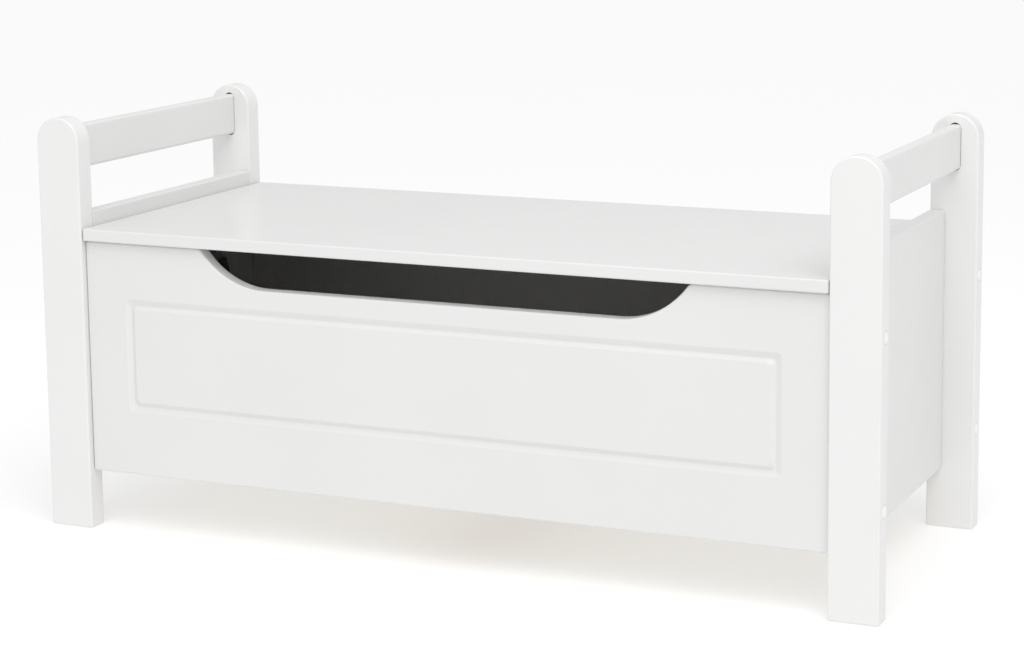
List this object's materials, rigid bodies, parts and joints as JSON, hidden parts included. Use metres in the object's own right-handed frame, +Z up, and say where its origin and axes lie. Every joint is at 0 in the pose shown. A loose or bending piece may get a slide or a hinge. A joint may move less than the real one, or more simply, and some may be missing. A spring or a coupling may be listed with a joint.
{
  "type": "toy box",
  "caption": "Long lacquered storage box and bench on four round-topped posts, with a hinged seat lid, a hand cutout in the front panel and a hand rail at each end.",
  "frame": {"origin": "centre of the footprint, on the floor under the four posts", "axes": "+X along the length to the right-hand rail, +Y to the hinged back, +Z up; the cutout front faces -Y"},
  "size_m": [0.9028, 0.36, 0.431],
  "materials": {
    "white_lacquer": "satin white lacquer on fine fibreboard",
    "floor_board": "matt off-white foil on thin fibreboard",
    "bare_wood": "unfinished beech",
    "white_plastic": "white moulded cap",
    "clear_rubber": "soft translucent bumper",
    "grey_plastic": "fine-textured dark grey nylon",
    "zinc_plate": "bright zinc plate"
  },
  "bodies": {
    "box": {"post_front_left": "white_lacquer", "post_rear_left": "white_lacquer", "post_front_right": "white_lacquer", "post_rear_right": "white_lacquer", "hand_rail_left": "white_lacquer", "hand_rail_right": "white_lacquer", "side_panel_left": "white_lacquer", "side_panel_right": "white_lacquer", "front_panel": "white_lacquer", "back_panel": "white_lacquer", "floor_panel": "floor_board", "floor_batten": "bare_wood", "bolt_front_left_lower": "zinc_plate", "bolt_front_left_upper": "zinc_plate", "bolt_rear_left_lower": "zinc_plate", "bolt_rear_left_upper": "zinc_plate", "bolt_front_right_lower": "zinc_plate", "bolt_front_right_upper": "zinc_plate", "bolt_rear_right_lower": "zinc_plate", "bolt_rear_right_upper": "zinc_plate", "bolt_cap_front_left_lower": "white_plastic", "bolt_cap_front_left_upper": "white_plastic", "bolt_cap_rear_left_lower": "white_plastic", "bolt_cap_rear_left_upper": "white_plastic", "bolt_cap_front_right_lower": "white_plastic", "bolt_cap_front_right_upper": "white_plastic", "bolt_cap_rear_right_lower": "white_plastic", "bolt_cap_rear_right_upper": "white_plastic", "dowel_front_left_lower": "bare_wood", "dowel_front_left_upper": "bare_wood", "dowel_rear_left_lower": "bare_wood", "dowel_rear_left_upper": "bare_wood", "dowel_front_right_lower": "bare_wood", "dowel_front_right_upper": "bare_wood", "dowel_rear_right_lower": "bare_wood", "dowel_rear_right_upper": "bare_wood", "hinge_left_fixed_leaf": "zinc_plate", "hinge_right_fixed_leaf": "zinc_plate", "hinge_left_pin": "zinc_plate", "hinge_right_pin": "zinc_plate", "hinge_left_fixed_screw_outer": "zinc_plate", "hinge_left_fixed_screw_inner": "zinc_plate", "hinge_right_fixed_screw_outer": "zinc_plate", "hinge_right_fixed_screw_inner": "zinc_plate", "lid_bumper_left": "clear_rubber", "lid_bumper_right": "clear_rubber", "stay_guide_screw": "zinc_plate"},
    "lid": {"lid": "white_lacquer", "hinge_left_lid_leaf": "zinc_plate", "hinge_right_lid_leaf": "zinc_plate", "hinge_left_lid_screw_outer": "zinc_plate", "hinge_left_lid_screw_inner": "zinc_plate", "hinge_right_lid_screw_outer": "zinc_plate", "hinge_right_lid_screw_inner": "zinc_plate", "stay_bracket": "zinc_plate", "stay_screw_front": "zinc_plate", "stay_screw_rear": "zinc_plate"},
    "stay_arm": {"stay_arm": "zinc_plate"},
    "stay_guide": {"stay_guide": "grey_plastic"}
  },
  "joints": [
    {"name": "lid_hinge", "type": "hinge", "parent": "box", "child": "lid", "pos_m": [0, 0.1765, 0.3042], "axis": [-1, 0, 0], "range_deg": [0, 80]},
    {"name": "stay_arm_pivot", "type": "hinge", "parent": "lid", "child": "stay_arm", "pos_m": [-0.3934, 0.05533, 0.2947], "axis": [-1, 0, 0], "range_deg": [-40, 0]},
    {"name": "stay_guide_pivot", "type": "hinge", "parent": "box", "child": "stay_guide", "pos_m": [-0.3934, 0.078, 0.233], "axis": [-1, 0, 0], "range_deg": [0, 40]}
  ],
  "couplings": [
    {"joint": "stay_arm_pivot", "follows": "lid_hinge", "ratio": -0.5},
    {"joint": "stay_guide_pivot", "follows": "lid_hinge", "ratio": 0.5}
  ]
}
